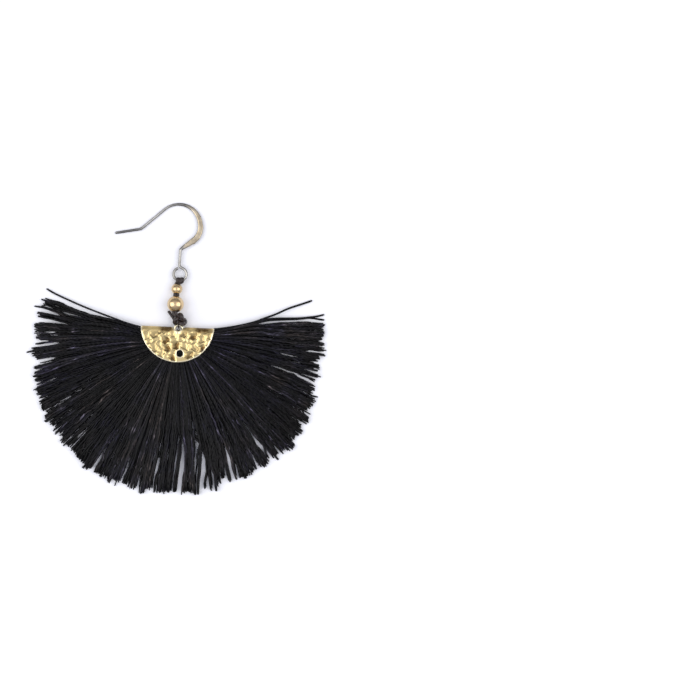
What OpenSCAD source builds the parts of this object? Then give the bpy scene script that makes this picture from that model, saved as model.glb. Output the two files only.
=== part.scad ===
// Tassel earring, lying face up on a flat surface.
// A bent ear wire carries a doubled waxed cord. The cord goes through a small and a large bead
// and is knotted onto a ring. The ring holds the head of a wide fan of threads,
// and a hammered disc is folded over that head.
// Millimetres. X runs across the fan, Y runs up towards the hook, Z is up off the surface.

/* [Ear hook] */
// Diameter of the hook's round wire
wire_d = 0.7; // [0.6:0.05:0.8]
// Straight end that goes through the ear
tail_len = 6.6; // [6:0.1:8]
// Widest place of the flattened front
blade_w = 1.6; // [1:0.1:1.8]
// Inner and outer curves of the eye follow this radius of its wire's centre line
eye_r = 1.75; // [1.6:0.05:1.9]
// Angle by which the cord under the eye tips the hook up
hook_lean = 2.5; // [2.3:0.1:2.7]

/* [Beads] */
// Diameter of the small bead
small_bead_d = 3; // [2.8:0.1:3.1]
// Diameter of the large bead
large_bead_d = 4.5; // [4:0.1:4.5]
// Diameter of the hole through both beads
bead_hole_d = 1.7; // [1.7:0.05:1.8]

/* [Cord] */
// Diameter of one strand of the waxed cord
cord_d = 0.8; // [0.7:0.05:0.8]
// Diameter over the outside of the knot
knot_d = 4; // [3.6:0.1:4]

/* [Cap and ring] */
// Diameter of the disc before it is folded
disc_d = 20; // [18:0.5:21]
// Thickness of the disc's sheet
sheet_t = 0.5; // [0.4:0.05:0.6]
// Thickness over both plates of the folded disc
cap_t = 3.8; // [3.6:0.1:4.2]
// Turn of the fold against the fan
cap_turn = -2.4; // [-4:0.1:2]
// Diameter of the hole in the front plate
plate_hole_d = 1.7; // [1.2:0.1:2]
// Diameter of the ring's wire
ring_wire_d = 0.6; // [0.5:0.05:0.6]
// Radius of the ring, to the centre of its wire
ring_r = 1.1; // [1.05:0.05:1.15]

/* [Fringe] */
// Height of the fringe where it leaves the cap
fringe_t = 3.1; // [2.6:0.1:3.4]
// Height of the fringe at its tips
tip_t = 1.7; // [1.2:0.1:2.2]
// How much the cut ends of neighbouring locks differ
uneven = 0.7; // [0:0.1:1.2]
// Depth of the valleys between the locks near their tips
valley = 0.7; // [0.3:0.1:1]

/* [Hidden] */

// Clear space between pieces that lie on each other
gap = 0.12;
wire_r = wire_d / 2;
disc_r = disc_d / 2;
fold_r = cap_t / 2;
inner_r = fold_r - sheet_t;

// The hook's wire, a row for each straight and the bend after it:
// length of the straight, radius of the bend, degrees that it turns left, width of the wire after it
STRAIGHT = 0;
RADIUS = 1;
TURN = 2;
WIDTH = 3;
HOOK = [
    [tail_len, 1.6, 31, wire_d],
    [8.0, 6.0, -33, wire_d],
    [0, 5.9, -87, 0.8 * blade_w],
    [0.55, 4.6, -66, blade_w],
    [3.7, 0.8, 53, wire_d],
    [3.65, 1.0, 66, wire_d],
    [0.5, eye_r, -310, wire_d]
];
hook_start = [-17.2, 25.7];
hook_heading = 8.5;
crest_at = [0, 33.4];
// Degrees of a bend between two rings of the hook's mesh, and sides of a ring
bend_step = 12;
hook_sides = 10;
// The flattened wire gets thinner as it gets wider
thinning = 0.6;
// How far the bent wire reaches into the straight end, and its share of the width there
tail_lap = 0.3;
lap_share = 0.96;
// Height of the straight end's bevelled point, and share of the width that the point keeps
bevel = 0.18;
point_share = 0.6;

// Places, from the middle of the cap's fold: x, y and height above the surface
large_bead_at = [-0.63, 6.2, large_bead_d / 2];
small_bead_at = [-0.35, 10.36, 1.55];
knot_at = [0.55, 1.88, 2.05];
ring_at = [0.16, -0.58, cap_t / 2];
plate_hole_at = [0.93, -7.15];
// The disc's own centre lies a little above the fold's top edge
disc_at = [0, 0.35];
// Hammer marks on both plates: radius of the hammer's face, depth, distance apart, the first row's
// distance below the fold's bend, distance between rows, unevenness and least clear rim
hammer_r = 4.5;
mark_depth = 0.09;
mark_step = 2.05;
mark_start = 1;
mark_row = 1.8;
mark_shift = 0.08;
mark_rim = 1.15;
// Clear space round the ring in the hole at the fold, and how far below the fold's top that hole ends
ring_play = 0.2;
ring_hole_end = 1.2;

bead_run = small_bead_at - large_bead_at;
bead_way = bead_run / norm(bead_run);
// Half the distance between the two strands in the beads, and where they bulge between them
strand_off = 0.42;
strand_bulge = 0.55;

// How each strand goes round the wire at the bottom of the eye, from the crossing behind it:
// how far the strand lies to its own side, towards the hook, and up
eye_bottom = [0.52, 12.64, 1.19];
ROUND_EYE = [
    [0, -0.68, -0.74], [0.35, -0.33, -0.77], [0.5, 0.27, -0.77], [0.5, 0.82, -0.45],
    [0.5, 0.95, 0.06], [0.5, 0.8, 0.56], [0.6, 0.17, 0.83], [0.5, -0.38, 0.7]
];
// How each strand goes down through the beads: distance along their line, and to its own side
DOWN_BEADS = [
    [5.75, strand_off], [5.3, strand_off], [3.1, strand_off], [2.5, strand_bulge],
    [1.9, strand_off], [-2.45, strand_off]
];
// One half of the cord, from behind the eye to the knot: side is -1 on the left and 1 on the right
function half_cord(side) = concat(
    [for (row = ROUND_EYE) eye_bottom + [side * row[0], row[1], row[2]]],
    [for (row = DOWN_BEADS) large_bead_at + row[0] * bead_way + [side * row[1], 0, 0]],
    [knot_at + [side * 0.4, 0.9, 0]]
);

// The short end that sticks out of the knot's left side, and the turn of cord round the ring
cord_end = [
    [-0.2, 1.7, 1.9], [-1.0, 2.1, 1.6], [-1.6, 2.9, 1.25], [-2.2, 3.7, 1.05], [-2.7, 4.4, 1.0]
];
loop_play = 0.04;
loop_r = (ring_wire_d + cord_d) / 2 + loop_play;
loop_at = ring_at + [0, ring_r, 0];

// The knot: steps round its trefoil, and how far its turns pass over and under each other
knot_steps = 27;
knot_rise = 2;

// The fan's outline, looked up by slant: slant from straight down, and length from the middle of the fold
OUTLINE = [
    [-110, 37.0], [-90, 38.6], [-80, 39.7], [-65, 42.2], [-50, 43.4], [-35, 45.2], [-20, 45.2],
    [0, 44.8], [14, 45.8], [19, 43.4], [26, 44.1], [40, 44.2], [55, 42.6], [66, 40.3], [100, 39.2]
];

// Bundles of locks from left to right: slant where one starts and ends, its number of locks,
// the distance from the fold where the split after it opens, and how wide that split gets
FROM = 0;
TO = 1;
LOCKS = 2;
OPENS = 3;
SPLIT = 4;
BUNDLES = [
    [-103.5, -97, 2, 30, 0.6],
    [-97, -91, 2, 33, 0.6],
    [-91, -52, 14, 39, 0.5],
    [-52, -31, 8, 40, 0.5],
    [-31, -9.5, 8, 31, 0.5],
    [-9.5, -2, 3, 29, 0.7],
    [-2, 1.2, 1, 33, 1.2],
    [1.2, 7.2, 2, 32, 0.5],
    [7.2, 9.8, 1, 35, 1.5],
    [9.8, 20, 4, 35, 1.0],
    [20, 29, 3, 40, 0.5],
    [29, 48, 7, 39, 0.4],
    [48, 74, 9, 38, 0.4],
    [74, 94, 7, 38, 0]
];
seed = 11;
// Share of its slant that a lock only takes on outside the cap, on the left side and on the right
flare_left = 0.18;
flare_right = 0.12;
flare_power = 1.8;
// Distances from the fold at which the locks are measured: at the cap's rim, on the surface,
// and two on the way
STOPS = [disc_r + gap, disc_r + 2.3, 18, 26];
// Inside the cap the locks run together towards this place, and start at this share of the way from it
gather_at = [0, -fold_r];
gather = [0.3, 0.75];
// The locks lie this much inside the head's own faces, so that the two fuse cleanly
inset = 0.05;
// Notches between neighbouring tips: least and greatest depth, and width
notch_least = 2;
notch_most = 5.5;
notch_w = 0.35;
// Share of a lock's width that its cut end keeps, and how far the corners of that end lie back
tip_share = 0.8;
corner_back = 0.3;
// Locks swell or sink by this much towards their tips, and the valleys are this much shallower there
swell_low = -0.25;
swell_high = 0.1;
valley_swell = -0.08;
// Least half height of the threads inside the fold
least_half = 0.2;
// Radius of the bound head, and degrees between the places that measure the fan's rim
head_r = 4.5;
rim_step = 2;

function sum_of(list, from) = from >= len(list) ? 0 : list[from] + sum_of(list, from + 1);
lock_total = sum_of([for (b = BUNDLES) b[LOCKS]], 0);
cuts = rands(-uneven, uneven, lock_total, seed);
swells = rands(swell_low, swell_high, lock_total, seed + 1);

function reach(slant) = lookup(slant, OUTLINE);
function slant_at(slant, r) =
    slant * (1 - (slant < 0 ? flare_left : flare_right) * pow(disc_r / r, flare_power));
function on_fan(slant, r) = r * [sin(slant_at(slant, r)), -cos(slant_at(slant, r))];

// Borders between the locks: slant, distance where the two tips part, and how far they part
borders = [for (b = [0:len(BUNDLES) - 1], j = [0:BUNDLES[b][LOCKS] - (b < len(BUNDLES) - 1 ? 1 : 0)])
    let (row = BUNDLES[b], slant = row[FROM] + j * (row[TO] - row[FROM]) / row[LOCKS])
    j == 0 && b > 0 ? [slant, BUNDLES[b - 1][OPENS], BUNDLES[b - 1][SPLIT]]
        : [slant, reach(slant) - rands(notch_least, notch_most, 1, seed + 10 * b + j)[0], notch_w]];

// The model stands on the middle of its outline's box, from the fan's rim to the hook's crest
fan_rim = [for (slant = [BUNDLES[0][FROM]:rim_step:BUNDLES[len(BUNDLES) - 1][TO]])
    on_fan(slant, reach(slant) + 0.5 * uneven)];
middle = [
    (min([for (at = fan_rim) at[0]]) + max([for (at = fan_rim) at[0]])) / 2,
    (min([for (at = fan_rim) at[1]]) + crest_at[1] + wire_r) / 2
];

// Stations along the bent wire: place, heading and width
function walk(row, at, heading, width) = row >= len(HOOK) ? [] :
    let (
        straight = HOOK[row][STRAIGHT],
        radius = HOOK[row][RADIUS],
        turn = HOOK[row][TURN],
        side = sign(turn),
        corner = at + straight * [cos(heading), sin(heading)],
        centre = corner + side * radius * [-sin(heading), cos(heading)],
        arc = radius * abs(turn) * PI / 180,
        steps = ceil(abs(turn) / bend_step),
        grow = (HOOK[row][WIDTH] - width) / (straight + arc),
        bend = [for (k = [1:steps]) let (now = heading + turn * k / steps)
            [centre + side * radius * [sin(now), -cos(now)], now,
                width + grow * (straight + arc * k / steps)]]
    )
    concat(
        row > 0 && straight > 1 ? [[corner, heading, width + grow * straight]] : [],
        bend,
        walk(row + 1, bend[steps - 1][0], bend[steps - 1][1], HOOK[row][WIDTH])
    );

function wire_ring(station) =
    let (w = station[2], t = wire_d * pow(wire_d / max(w, wire_d), thinning) * min(1, w / wire_d))
    [for (k = [0:hook_sides - 1]) let (a = 360 * k / hook_sides)
        [station[0][0] - sin(station[1]) * cos(a) * w / 2, station[0][1] + cos(station[1]) * cos(a) * w / 2,
            wire_r + sin(a) * t / 2]];

module tube(rings) {
    sides = len(rings[0]);
    last = (len(rings) - 1) * sides;
    polyhedron(
        points = [for (ring = rings, p = ring) p],
        faces = concat(
            [[for (k = [0:sides - 1]) k]],
            [[for (k = [sides - 1:-1:0]) last + k]],
            [for (n = [0:len(rings) - 2], k = [0:sides - 1]) let (m = (k + 1) % sides)
                [n * sides + k, (n + 1) * sides + k, (n + 1) * sides + m, n * sides + m]]
        )
    );
}

// The straight end is turned about its own axis, with a bevelled point
module hook_tail() {
    translate([hook_start[0], hook_start[1], wire_r])
        rotate([0, 90, hook_heading])
            rotate_extrude($fn = 48)
                polygon([
                    [0, 0], [point_share * wire_r, 0], [wire_r, bevel], [wire_r, tail_len], [0, tail_len]
                ]);
}

module ear_hook() color([0.80, 0.74, 0.60]) {
    heading = [cos(hook_heading), sin(hook_heading)];
    lap_start = [hook_start + (tail_len - tail_lap) * heading, hook_heading, lap_share * wire_d];
    way = crest_at - hook_start;
    translate([hook_start[0], hook_start[1], wire_r])
        rotate(-hook_lean, [way[0], way[1], 0])
            translate([-hook_start[0], -hook_start[1], -wire_r]) {
                hook_tail();
                tube([for (s = concat([lap_start], walk(0, hook_start, hook_heading, lap_share * wire_d)))
                    wire_ring(s)]);
            }
}

// A cord along points: a hull round the balls at each two neighbours
module rope(points) {
    for (i = [1:len(points) - 1])
        hull()
            for (at = [points[i - 1], points[i]])
                translate(at)
                    sphere(d = cord_d, $fn = 8);
}

// The knot is a trefoil that is drawn tight, so that its turns press into each other
module knot() {
    size = (knot_d - cord_d) / 2 / 3;
    turn = [for (k = [0:knot_steps]) let (t = 360 * k / knot_steps)
        knot_at + size * [
            sin(t) + 2 * sin(2 * t),
            2 * cos(2 * t) - cos(t),
            -knot_rise * sin(3 * t)
        ]];
    rope(turn);
}

module cord() color([0.2, 0.15, 0.14]) {
    rope(half_cord(-1));
    rope(half_cord(1));
    knot();
    rope(cord_end);
    rope([for (a = [0:30:360]) loop_at + loop_r * [0, cos(a), sin(a)]]);
}

module bead(at, d) {
    difference() {
        translate(at)
            sphere(d = d, $fn = 64);
        translate(at)
            rotate([0, acos(bead_way[2]), atan2(bead_way[1], bead_way[0])])
                cylinder(d = bead_hole_d, h = d + 1, center = true, $fn = 48);
    }
}

module small_bead() color([0.70, 0.56, 0.33]) bead(small_bead_at, small_bead_d);

module large_bead() color([0.70, 0.56, 0.33]) bead(large_bead_at, large_bead_d);

module jump_ring() color([0.80, 0.68, 0.36]) {
    translate(ring_at)
        rotate_extrude($fn = 64)
            translate([ring_r, 0])
                circle(d = ring_wire_d, $fn = 32);
}

// The fold seen from its end, with this much taken off all round
module fold_section(less) {
    translate([fold_r, 0])
        circle(r = fold_r - less, $fn = 64);
    translate([less, 0])
        square([cap_t - 2 * less, disc_r + 2]);
}

// The same section drawn out along the fold, which lies along X with its top edge at y = 0
module fold_block(less, length) {
    translate([0, -fold_r, 0])
        rotate([0, -90, 180])
            linear_extrude(length, center = true)
                fold_section(less);
}

// Hammer marks in staggered rows, where a plate is flat and clear of its rim and hole
marks = [for (row = [0:3], n = [-5:5])
    let (
        shift = rands(-mark_shift, mark_shift, 2, seed + 40 * row + n),
        at = [(n + (row % 2) / 2) * mark_step + shift[0], -fold_r - mark_start - row * mark_row + shift[1]]
    )
    if (norm(at - disc_at) < disc_r - mark_rim && norm(at - plate_hole_at) > plate_hole_d / 2 + mark_rim) at];

module cap() color([0.78, 0.64, 0.36]) {
    rotate(cap_turn)
        difference() {
            intersection() {
                fold_block(0, disc_d + 2);
                translate([disc_at[0], disc_at[1], -1])
                    cylinder(r = disc_r, h = cap_t + 2, $fn = 128);
            }
            fold_block(sheet_t, disc_d + 4);
            for (at = marks, side = [-1, 1])
                translate([at[0], at[1], fold_r + side * (fold_r + hammer_r - mark_depth)])
                    sphere(r = hammer_r, $fn = 96);
            translate([plate_hole_at[0], plate_hole_at[1], cap_t - 1.5 * sheet_t])
                cylinder(d = plate_hole_d, h = 2 * sheet_t, $fn = 48);
            translate([ring_at[0], -ring_hole_end, fold_r])
                rotate([-90, 0, 0])
                    cylinder(r = ring_r + ring_wire_d / 2 + ring_play, h = fold_r, $fn = 48);
        }
}

// Half the height that the fold leaves free for the threads at a place inside the cap
function free_half(at) =
    let (below = at[0] * sin(-cap_turn) + at[1] * cos(cap_turn) + fold_r, half = inner_r - gap - inset)
    below <= 0 ? half : sqrt(max(least_half * least_half, half * half - below * below));

function swell_at(c) = c % 2 == 1 ? swells[(c - 1) / 2] : valley_swell;
// Slant of a column and distance where its tips part: on a border, or midway between two
function across(c, item) =
    c % 2 == 0 ? borders[c / 2][item] : (borders[(c - 1) / 2][item] + borders[(c + 1) / 2][item]) / 2;
function slant_of(c) = across(c, 0);
function part_r(c) = across(c, 1);

// Height of the fringe's upper side: the even columns are the valleys between the locks
function height(c, r) =
    let (share = (r - disc_r) / (reach(slant_of(c)) - disc_r))
    fringe_t + (tip_t - fringe_t) * share + share * (swell_at(c) - (c % 2 == 0 ? valley : 0));

// Places of a column on the upper or the lower side: inside the cap, at its rim, and on to
// where the tips part
function column(c, upper) =
    let (
        slant = slant_of(c),
        cap_rim = on_fan(slant, STOPS[0]),
        inside = concat([for (share = gather) gather_at + share * (cap_rim - gather_at)], [cap_rim]),
        outside = concat([for (n = [1:len(STOPS) - 1]) STOPS[n]], [part_r(c)])
    )
    concat(
        [for (at = inside) [at[0], at[1], fold_r + (upper ? 1 : -1) * free_half(at)]],
        [for (r = outside) let (at = on_fan(slant, r)) [at[0], at[1], upper ? height(c, r) : 0]]
    );

// Place on a lock's cut end: side is -1 for its left corner, 0 for its crest and 1 for its right corner
function tip_at(i, side, upper) =
    let (
        c = 2 * i + 1,
        border = borders[i + (side > 0 ? 1 : 0)],
        r = reach(slant_of(c)) + cuts[i] - abs(side) * corner_back,
        edge = border[0] - side * border[2] / 2 / r * 180 / PI,
        slant = side == 0 ? slant_of(c) : slant_of(c) + tip_share * (edge - slant_of(c)),
        at = on_fan(slant, r),
        z = upper ? height(c, r) - abs(side) * 0.5 * valley : 0
    )
    [at[0], at[1], z];

// All locks as one solid: two columns of places a lock, and three places at each cut end
module locks() {
    total = len(borders) - 1;
    columns = 2 * total + 1;
    stops = len(gather) + len(STOPS) + 1;
    ends = 2 * columns * stops;
    function at(c, k, upper) = (upper ? 0 : columns * stops) + c * stops + k;
    function end(i, side, upper) = ends + (upper ? 0 : 3 * total) + 3 * i + side;
    polyhedron(
        points = concat(
            [for (upper = [true, false], c = [0:columns - 1], at = column(c, upper)) at],
            [for (upper = [true, false], i = [0:total - 1], side = [-1:1]) tip_at(i, side, upper)]
        ),
        faces = concat(
            [for (c = [0:columns - 2], k = [0:stops - 2])
                [at(c, k, true), at(c + 1, k, true), at(c + 1, k + 1, true), at(c, k + 1, true)]],
            [for (c = [0:columns - 2], k = [0:stops - 2])
                [at(c, k, false), at(c, k + 1, false), at(c + 1, k + 1, false), at(c + 1, k, false)]],
            [for (k = [0:stops - 2])
                [at(0, k, true), at(0, k + 1, true), at(0, k + 1, false), at(0, k, false)]],
            [for (k = [0:stops - 2], c = columns - 1)
                [at(c, k + 1, true), at(c, k, true), at(c, k, false), at(c, k + 1, false)]],
            [for (c = [0:columns - 2])
                [at(c + 1, 0, true), at(c, 0, true), at(c, 0, false), at(c + 1, 0, false)]],
            [for (i = [0:total - 1], s = [0, 1], k = stops - 1, c = 2 * i + s)
                [at(c, k, true), at(c + 1, k, true), end(i, s + 1, true), end(i, s, true)]],
            [for (i = [0:total - 1], s = [0, 1], k = stops - 1, c = 2 * i + s)
                [at(c, k, false), end(i, s, false), end(i, s + 1, false), at(c + 1, k, false)]],
            [for (i = [0:total - 1], s = [0, 1])
                [end(i, s, true), end(i, s + 1, true), end(i, s + 1, false), end(i, s, false)]],
            [for (i = [0:total - 1], k = stops - 1)
                [at(2 * i, k, true), end(i, 0, true), end(i, 0, false), at(2 * i, k, false)]],
            [for (i = [0:total - 1], k = stops - 1)
                [end(i, 2, true), at(2 * i + 2, k, true), at(2 * i + 2, k, false), end(i, 2, false)]]
        )
    );
}

// The middle of the bundle, bound together under the fold, where the ring goes round through it
module bound_head() {
    rotate(cap_turn)
        intersection() {
            fold_block(sheet_t + gap, disc_d);
            translate([gather_at[0], gather_at[1], 0])
                cylinder(r = head_r, h = cap_t, $fn = 64);
        }
}

module tassel() color([0.10, 0.10, 0.12]) {
    difference() {
        union() {
            bound_head();
            locks();
        }
        translate(ring_at)
            rotate_extrude($fn = 64)
                translate([ring_r, 0])
                    circle(d = ring_wire_d + 2 * gap, $fn = 32);
    }
}

module placed() translate([-middle[0], -middle[1], 0]) children();

placed() ear_hook();
placed() cord();
placed() small_bead();
placed() large_bead();
placed() jump_ring();
placed() cap();
placed() tassel();
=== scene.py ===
"""Tassel earring lying on a pale surface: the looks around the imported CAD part.

Lengths are in millimetres. make_mesh turns them into metres.
"""

import math

import bpy
import numpy as np
from mathutils import Matrix, Vector
from mathutils.bvhtree import BVHTree


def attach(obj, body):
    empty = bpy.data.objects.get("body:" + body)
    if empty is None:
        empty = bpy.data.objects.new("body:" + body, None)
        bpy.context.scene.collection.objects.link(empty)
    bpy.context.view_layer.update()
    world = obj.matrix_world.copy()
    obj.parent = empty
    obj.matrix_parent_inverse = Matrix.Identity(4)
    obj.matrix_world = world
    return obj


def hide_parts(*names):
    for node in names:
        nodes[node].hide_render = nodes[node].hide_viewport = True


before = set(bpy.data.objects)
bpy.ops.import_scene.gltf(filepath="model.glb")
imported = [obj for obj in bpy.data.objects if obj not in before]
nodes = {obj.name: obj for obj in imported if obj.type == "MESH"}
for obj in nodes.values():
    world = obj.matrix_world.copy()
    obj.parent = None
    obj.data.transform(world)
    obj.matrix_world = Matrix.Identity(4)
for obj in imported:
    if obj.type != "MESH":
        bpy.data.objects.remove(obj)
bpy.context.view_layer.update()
MM = 0.001

# Named sizes, as in the part's source

WIRE_D = 0.7
WIRE_R = WIRE_D / 2
TAIL_LEN = 6.6
BLADE_W = 1.6
EYE_R = 1.75
HOOK_LEAN = 2.5
LARGE_D = 4.5
CORD_D = 0.8
KNOT_D = 4.0
DISC_R = 10.0
SHEET_T = 0.5
CAP_T = 3.8
CAP_TURN = -2.4
PLATE_HOLE_R = 0.85
RING_WIRE_D = 0.6
RING_R = 1.1
FOLD_R = CAP_T / 2
GAP = 0.12
# Middle of the fold in the frame
FOLD_AT = np.array([-0.280033, 5.79172, 0.0])
# The photograph's pixel at that place, and its scale
FOLD_PIXEL = (178.1, 327.1)
MM_A_PIXEL = 0.272

# The ear wire: straight run, radius and turn in degrees of the bend after it, width at its end
HOOK = [
    (TAIL_LEN, 1.6, 31, WIRE_D),
    (8.0, 6.0, -33, WIRE_D),
    (0, 5.9, -87, 0.8 * BLADE_W),
    (0.55, 4.6, -66, BLADE_W),
    (3.7, 0.8, 53, WIRE_D),
    (3.65, 1.0, 66, WIRE_D),
    (0.5, EYE_R, -310, WIRE_D),
]
HOOK_START = np.array([-17.2, 25.7])
HOOK_HEADING = 8.5
CREST_AT = np.array([0.0, 33.4])

LARGE_AT = np.array([-0.63, 6.2, LARGE_D / 2])
SMALL_AT = np.array([-0.35, 10.36, 1.55])
KNOT_AT = np.array([0.55, 1.88, 2.05])
RING_AT = np.array([0.16, -0.58, CAP_T / 2])
PLATE_HOLE_AT = np.array([0.93, -7.15])
DISC_AT_Y = 0.35
EYE_BOTTOM = np.array([0.52, 12.64, 1.19])
# A strand's way round the eye's wire: across, along and up from the eye's bottom
ROUND_EYE = [
    (0, -0.68, -0.74), (0.35, -0.33, -0.77), (0.5, 0.27, -0.77), (0.5, 0.82, -0.45),
    (0.5, 0.95, 0.06), (0.5, 0.8, 0.56), (0.6, 0.17, 0.83), (0.5, -0.38, 0.7),
]
# Then down through the beads: along their line from the large one's middle, and off it to the side
DOWN_BEADS = [(5.75, 0.42), (5.3, 0.42), (3.1, 0.42), (2.5, 0.55), (1.9, 0.42), (-2.45, 0.42)]
# The short end that sticks out of the knot
CORD_END = [(-0.2, 1.7, 1.9), (-1.0, 2.1, 1.6), (-1.6, 2.9, 1.25), (-2.2, 3.7, 1.05), (-2.7, 4.4, 1.0)]

# The fan's outline from the fold's middle: slant in degrees to the right of straight down, distance
OUTLINE = [
    (-110, 37.0), (-90, 38.6), (-80, 39.7), (-65, 42.2), (-50, 43.4), (-35, 45.2), (-20, 45.2),
    (0, 44.8), (14, 45.8), (19, 43.4), (26, 44.1), (40, 44.2), (55, 42.6), (66, 40.3), (100, 39.2),
]
# Bundles: slant from and to, number of locks, where the split after it opens, width of that split
BUNDLES = [
    (-103.5, -97, 2, 30, 0.6), (-97, -91, 2, 33, 0.6), (-91, -52, 14, 39, 0.5), (-52, -31, 8, 40, 0.5),
    (-31, -9.5, 8, 31, 0.5), (-9.5, -2, 3, 29, 0.7), (-2, 1.2, 1, 33, 1.2), (1.2, 7.2, 2, 32, 0.5),
    (7.2, 9.8, 1, 35, 1.5), (9.8, 20, 4, 35, 1.0), (20, 29, 3, 40, 0.5), (29, 48, 7, 39, 0.4),
    (48, 74, 9, 38, 0.4), (74, 94, 7, 38, 0),
]
# Slants close in towards the cap by these shares, on the left and on the right
FLARE = (0.18, 0.12)
FLARE_POWER = 1.8
# Where the threads come together, and half the height that they have between the plates
GATHER_AT = np.array([0.0, -FOLD_R])
FREE_HALF = FOLD_R - SHEET_T - GAP - 0.05


# Meshes from arrays

def smooth(x):
    """Eases from 0 to 1 as x does."""
    x = np.clip(x, 0, 1)
    return x * x * (3 - 2 * x)


def make_mesh(name, verts, face_sets, uvs=None, floats=None):
    """A piece from verts (n,3), int arrays (m,k) of faces, matching uvs (m,k,2) and values a vertex."""
    mesh = bpy.data.meshes.new(name)
    mesh.vertices.add(len(verts))
    mesh.vertices.foreach_set("co", (np.asarray(verts) * MM).astype(np.float32).ravel())
    loops = np.concatenate([f.ravel() for f in face_sets]).astype(np.int32)
    sizes = np.concatenate([np.full(len(f), f.shape[1], np.int32) for f in face_sets])
    starts = np.concatenate([[0], np.cumsum(sizes)[:-1]]).astype(np.int32)
    mesh.loops.add(len(loops))
    mesh.loops.foreach_set("vertex_index", loops)
    mesh.polygons.add(len(sizes))
    mesh.polygons.foreach_set("loop_start", starts)
    mesh.polygons.foreach_set("loop_total", sizes)
    mesh.polygons.foreach_set("use_smooth", np.ones(len(sizes), bool))
    if uvs is not None:
        layer = mesh.uv_layers.new(name="along")
        flat = np.concatenate([u.reshape(-1, 2) for u in uvs])
        layer.data.foreach_set("uv", flat.astype(np.float32).ravel())
    for key, values in (floats or {}).items():
        attribute = mesh.attributes.new(key, "FLOAT", "POINT")
        attribute.data.foreach_set("value", np.asarray(values, np.float32))
    mesh.update(calc_edges=True)
    mesh.validate()
    piece = bpy.data.objects.new(name, mesh)
    bpy.context.scene.collection.objects.link(piece)
    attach(piece, "root")
    return piece


def tubes(paths, radii, sides):
    """Closed round tubes along many lying paths at once: paths (n,k,3), radii (n,k)."""
    tangent = np.gradient(paths, axis=1)
    tangent /= np.linalg.norm(tangent, axis=2, keepdims=True)
    side = np.cross([0.0, 0.0, 1.0], tangent)
    side /= np.linalg.norm(side, axis=2, keepdims=True)
    return ring_mesh(paths, side, np.cross(tangent, side), np.repeat(radii[:, :, None], 2, axis=2), sides)


def lengths(paths):
    """Length along each path up to each of its points."""
    steps = np.linalg.norm(np.diff(paths, axis=-2), axis=-1)
    return np.concatenate([np.zeros_like(steps[..., :1]), np.cumsum(steps, axis=-1)], axis=-1)


def ring_mesh(paths, side, top, radii, sides, power=1.0):
    """Closed tubes of elliptic rings with half widths along side and top, flattened where power is under 1.

    Gives verts, faces, uvs and the path of each vert. The uv is the share of the way round and the length.
    """
    n, k, _ = paths.shape
    turn = 2 * np.pi * np.arange(sides)[:, None] / sides
    c, s = (np.sign(wave) * np.abs(wave) ** power for wave in (np.cos(turn), np.sin(turn)))
    across, up = radii[:, :, None, :1] * c * side[:, :, None], radii[:, :, None, 1:] * s * top[:, :, None]
    rings = paths[:, :, None] + across + up
    verts = np.concatenate([rings.reshape(-1, 3), paths[:, 0], paths[:, -1]])
    here = np.arange(n * k * sides).reshape(n, k, sides)
    beside = np.roll(here, -1, axis=2)
    quads = np.stack([here[:, :-1], beside[:, :-1], beside[:, 1:], here[:, 1:]], -1).reshape(-1, 4)
    length = lengths(paths)[..., None]
    low, high, u0 = np.broadcast_arrays(length[:, :-1], length[:, 1:], np.arange(sides) / sides)
    u1 = u0 + 1 / sides
    corners = [(u0, low), (u1, low), (u1, high), (u0, high)]
    quad_uv = np.stack([np.stack(corner, -1) for corner in corners], -2).reshape(-1, 4, 2)
    start = n * k * sides + np.arange(n)[:, None]
    caps = np.concatenate([
        np.stack(np.broadcast_arrays(start, beside[:, 0], here[:, 0]), -1).reshape(-1, 3),
        np.stack(np.broadcast_arrays(start + n, here[:, -1], beside[:, -1]), -1).reshape(-1, 3),
    ])
    cap_uv = np.zeros((len(caps), 3, 2))
    owner = np.concatenate([np.repeat(np.arange(n), k * sides), np.arange(n), np.arange(n)])
    return verts, [quads, caps], [quad_uv, cap_uv], owner


def spline(points, step):
    """Catmull-Rom through points, resampled at about this step."""
    p = np.asarray(points, float)
    p = np.vstack([2 * p[0] - p[1], p, 2 * p[-1] - p[-2]])
    out = []
    for i in range(1, len(p) - 2):
        a, b, c, d = p[i - 1], p[i], p[i + 1], p[i + 2]
        count = max(2, int(np.ceil(np.linalg.norm(c - b) / step)))
        for t in np.arange(count) / count:
            square, cube = 2 * a - 5 * b + 4 * c - d, 3 * b - a - 3 * c + d
            out.append(0.5 * (2 * b + (c - a) * t + square * t * t + cube * t ** 3))
    out.append(p[-2])
    return np.array(out)


def transported(path):
    """Side and top directions along one path that never twist suddenly."""
    tangent = np.gradient(path, axis=0)
    tangent /= np.linalg.norm(tangent, axis=1, keepdims=True)
    side = np.zeros_like(path)
    start = np.cross([0, 0, 1], tangent[0])
    if np.linalg.norm(start) < 0.1:
        start = np.cross([1, 0, 0], tangent[0])
    side[0] = start / np.linalg.norm(start)
    for i in range(1, len(path)):
        v = side[i - 1] - tangent[i] * np.dot(side[i - 1], tangent[i])
        side[i] = v / np.linalg.norm(v)
    return side, np.cross(tangent, side)


def rope_mesh(path, halves, sides):
    """One tube along a path that may turn any way, with its half width and half thickness."""
    side, top = transported(path)
    return ring_mesh(path[None], side[None], top[None], np.broadcast_to(halves, (len(path), 2))[None], sides)


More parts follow.
